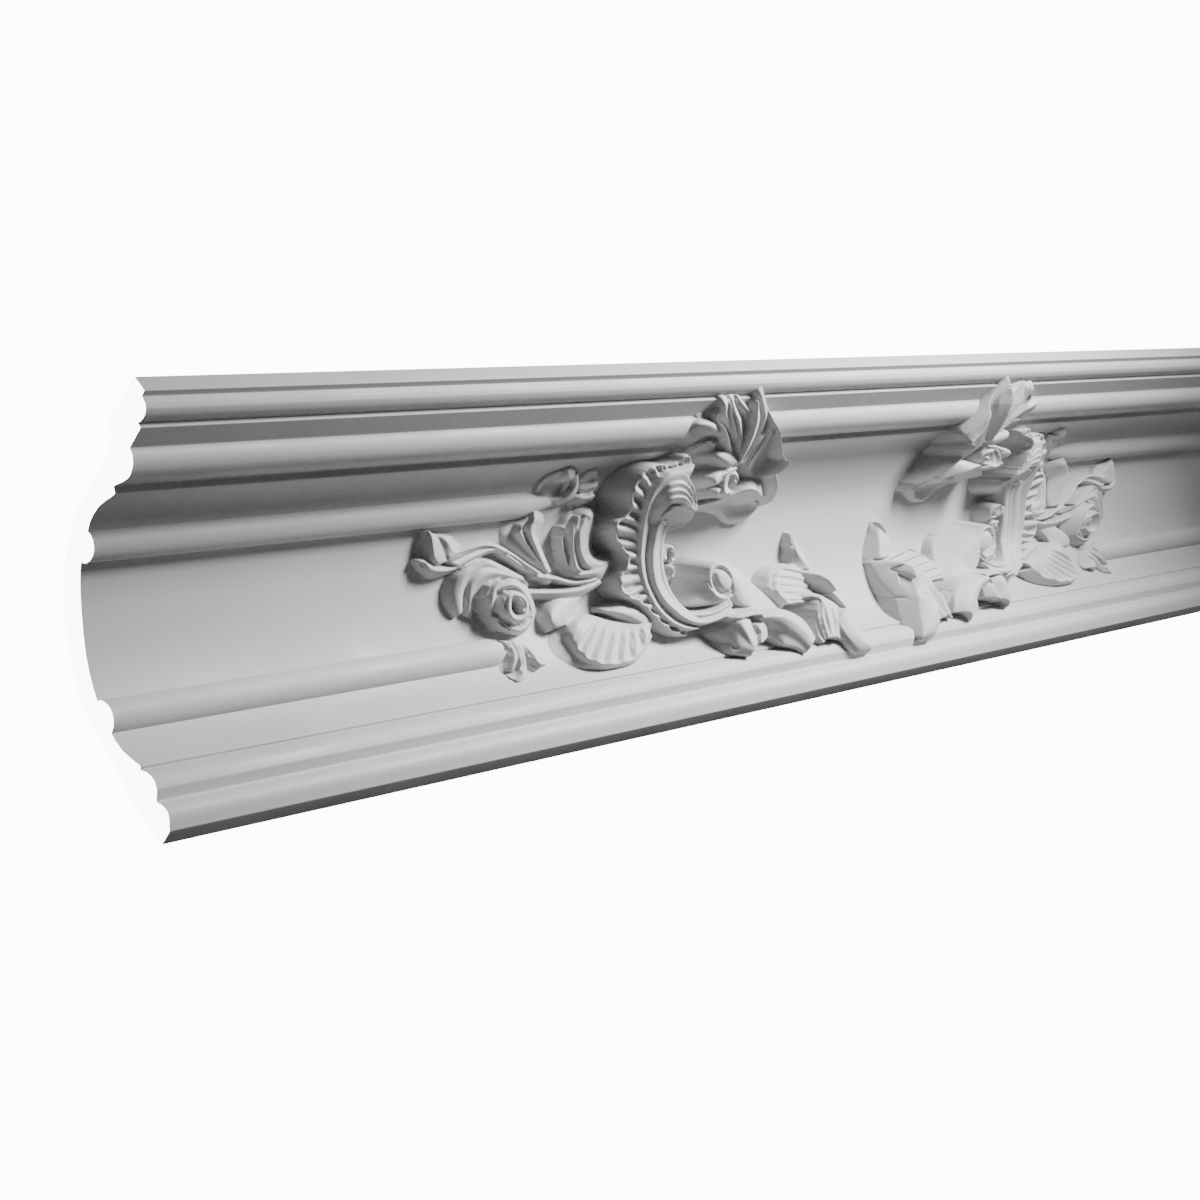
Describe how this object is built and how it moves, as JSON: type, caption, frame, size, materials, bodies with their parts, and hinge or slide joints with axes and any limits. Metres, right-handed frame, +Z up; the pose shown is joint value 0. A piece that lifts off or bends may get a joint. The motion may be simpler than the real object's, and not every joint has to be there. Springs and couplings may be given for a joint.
{
  "type": "cornice moulding",
  "caption": "Corner cornice moulding: beaded cove section with two mirrored rococo scroll, leaf and flower ornaments beside a mitre line.",
  "frame": {"origin": "centre of the flat face that is glued to the wall, halfway along the run", "axes": "+X along the run, +Y into the wall, +Z up to the ceiling"},
  "size_m": [1.34, 0.17, 0.17],
  "materials": {
    "primed_foam": "matte white primer on moulded foam"
  },
  "bodies": {
    "root": {"cornice_moulding": "primed_foam"}
  },
  "joints": []
}
